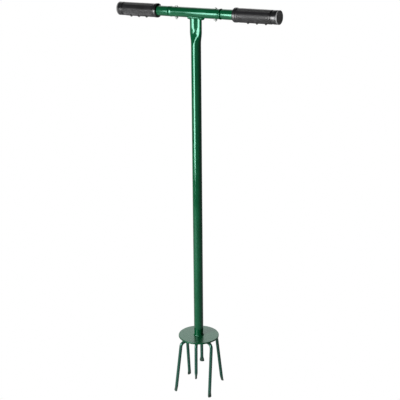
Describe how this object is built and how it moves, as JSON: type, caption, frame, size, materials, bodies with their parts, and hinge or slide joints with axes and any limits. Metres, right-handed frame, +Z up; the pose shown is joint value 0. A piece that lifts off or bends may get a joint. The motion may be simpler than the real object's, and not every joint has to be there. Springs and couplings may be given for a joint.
{
  "type": "twist tiller",
  "caption": "T-handled hand tiller with a tube shaft, a round plate, bent rod tines with forged tips and plastic grips on a bolted crossbar.",
  "frame": {"origin": "on the shaft axis, in the plane of the outer tine tips", "axes": "+Z up along the shaft, X along the crossbar, +Y to the back"},
  "size_m": [0.425, 0.1136, 0.9581],
  "materials": {
    "powder_coat": "glossy dark green powder coat",
    "grip_plastic": "moulded black plastic, smooth on top, textured below",
    "cap_plastic": "moulded black plastic, satin",
    "bolt_steel": "dull zinc plate"
  },
  "bodies": {
    "root": {"shaft_tube": "powder_coat", "shaft_weld": "powder_coat", "crossbar_middle_tube": "powder_coat", "crossbar_weld": "powder_coat", "ground_plate": "powder_coat", "arm_tube_right": "powder_coat", "arm_bolt_right": "bolt_steel", "arm_nut_right": "bolt_steel", "grip_right": "grip_plastic", "grip_cap_right": "cap_plastic", "arm_tube_left": "powder_coat", "arm_bolt_left": "bolt_steel", "arm_nut_left": "bolt_steel", "grip_left": "grip_plastic", "grip_cap_left": "cap_plastic", "tine_outer_1": "powder_coat", "tine_weld_outer_1": "powder_coat", "tine_outer_2": "powder_coat", "tine_weld_outer_2": "powder_coat", "tine_outer_3": "powder_coat", "tine_weld_outer_3": "powder_coat", "tine_outer_4": "powder_coat", "tine_weld_outer_4": "powder_coat", "tine_inner_1": "powder_coat", "tine_weld_inner_1": "powder_coat", "tine_inner_2": "powder_coat", "tine_weld_inner_2": "powder_coat"}
  },
  "joints": []
}
